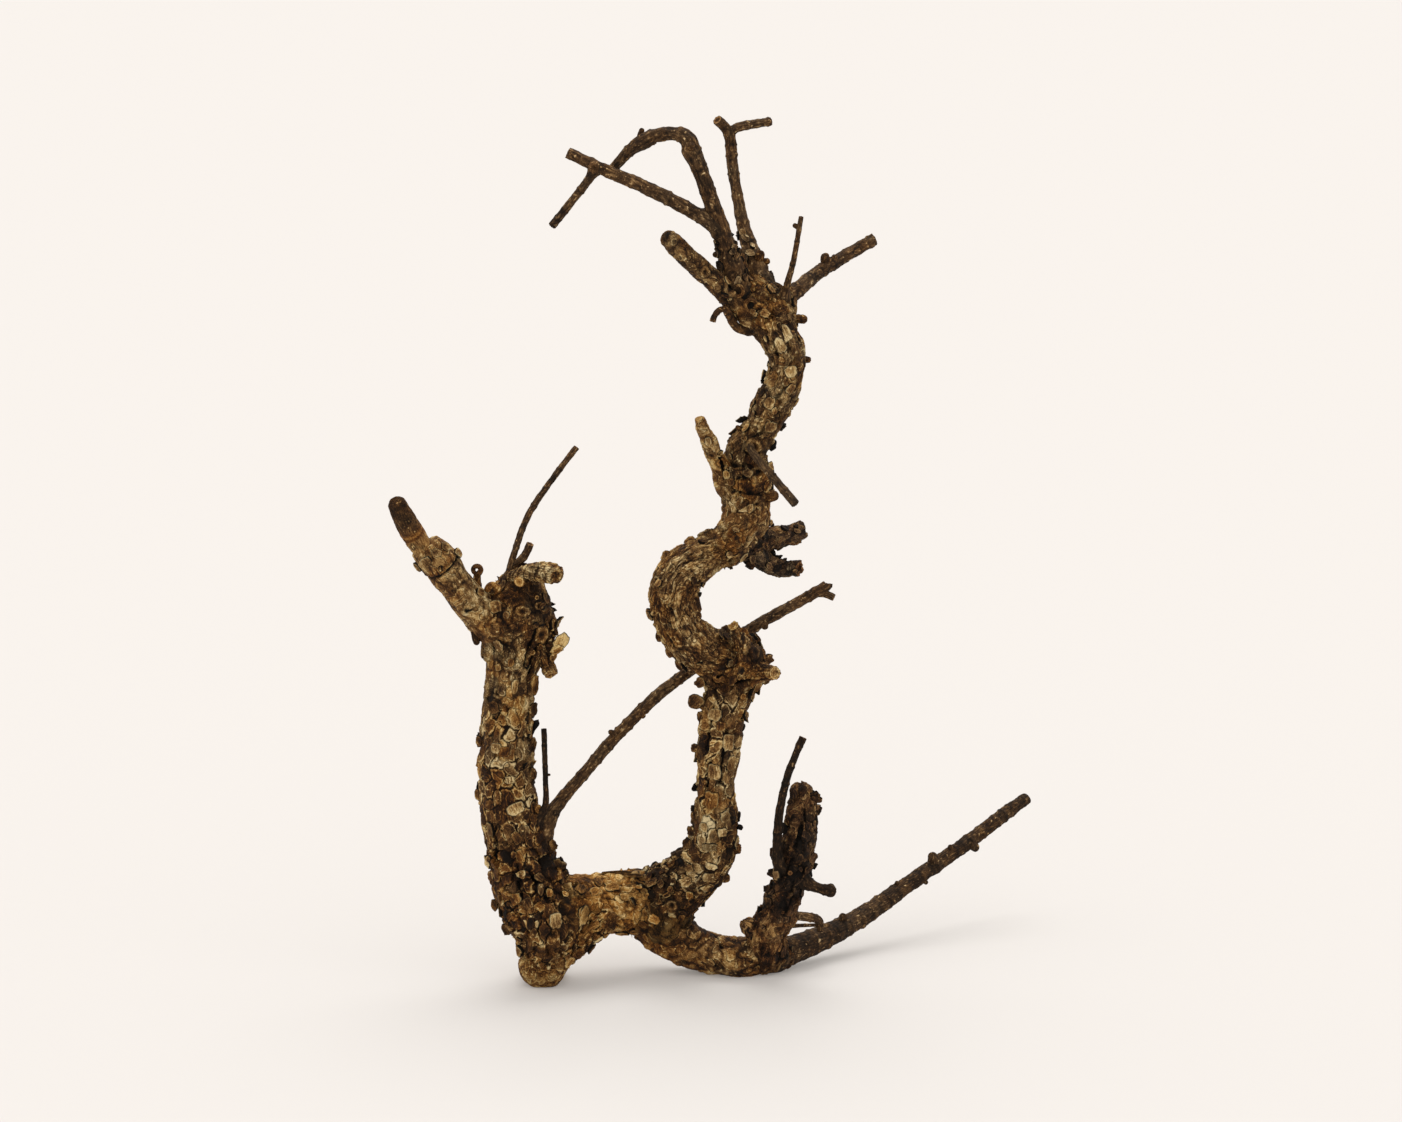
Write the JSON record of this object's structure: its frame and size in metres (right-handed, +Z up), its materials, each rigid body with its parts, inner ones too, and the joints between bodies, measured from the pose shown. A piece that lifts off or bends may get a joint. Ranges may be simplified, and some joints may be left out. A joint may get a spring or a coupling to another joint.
{
  "type": "driftwood branch",
  "caption": "Standing piece of driftwood: a bowed trunk, a low cross limb, an S-shaped stem with a crown of twigs and a long whip. Rests on its foot and on the low limb.",
  "frame": {"origin": "on the ground, at the middle of the outline as seen from above", "axes": "+X to the right as the wood is displayed, towards the tip of the whip; +Y to the back; +Z up"},
  "size_m": [0.2497, 0.1339, 0.3304],
  "materials": {
    "bark": "rough bark in small square plates, tan on dark brown",
    "dark_bark": "rough, nearly black bark",
    "golden_wood": "golden brown wood with worn bark",
    "twig_bark": "thin brown bark with faint rings and pale flecks",
    "pale_bark": "pale banded bark"
  },
  "bodies": {
    "root": {"left_trunk": "bark", "left_arm": "bark", "left_whip": "twig_bark", "curl_stub": "pale_bark", "cross_limb": "golden_wood", "low_limb": "bark", "whip": "twig_bark", "centre_stem": "bark", "dark_stub": "dark_bark", "s_limb": "bark", "neck": "bark", "upper_fork": "dark_bark", "lower_fork": "dark_bark", "mid_stub": "pale_bark", "split_spike": "twig_bark", "crown_stub": "bark", "arch_twig": "twig_bark", "cross_twig": "twig_bark", "hanging_shoot": "twig_bark", "forked_twig": "twig_bark", "fine_twig": "twig_bark", "right_twig": "twig_bark", "curled_twig": "twig_bark", "long_twig": "twig_bark", "needle_twig": "twig_bark", "dark_twig": "dark_bark", "knob_twig": "twig_bark", "tucked_twig": "twig_bark"}
  },
  "joints": []
}
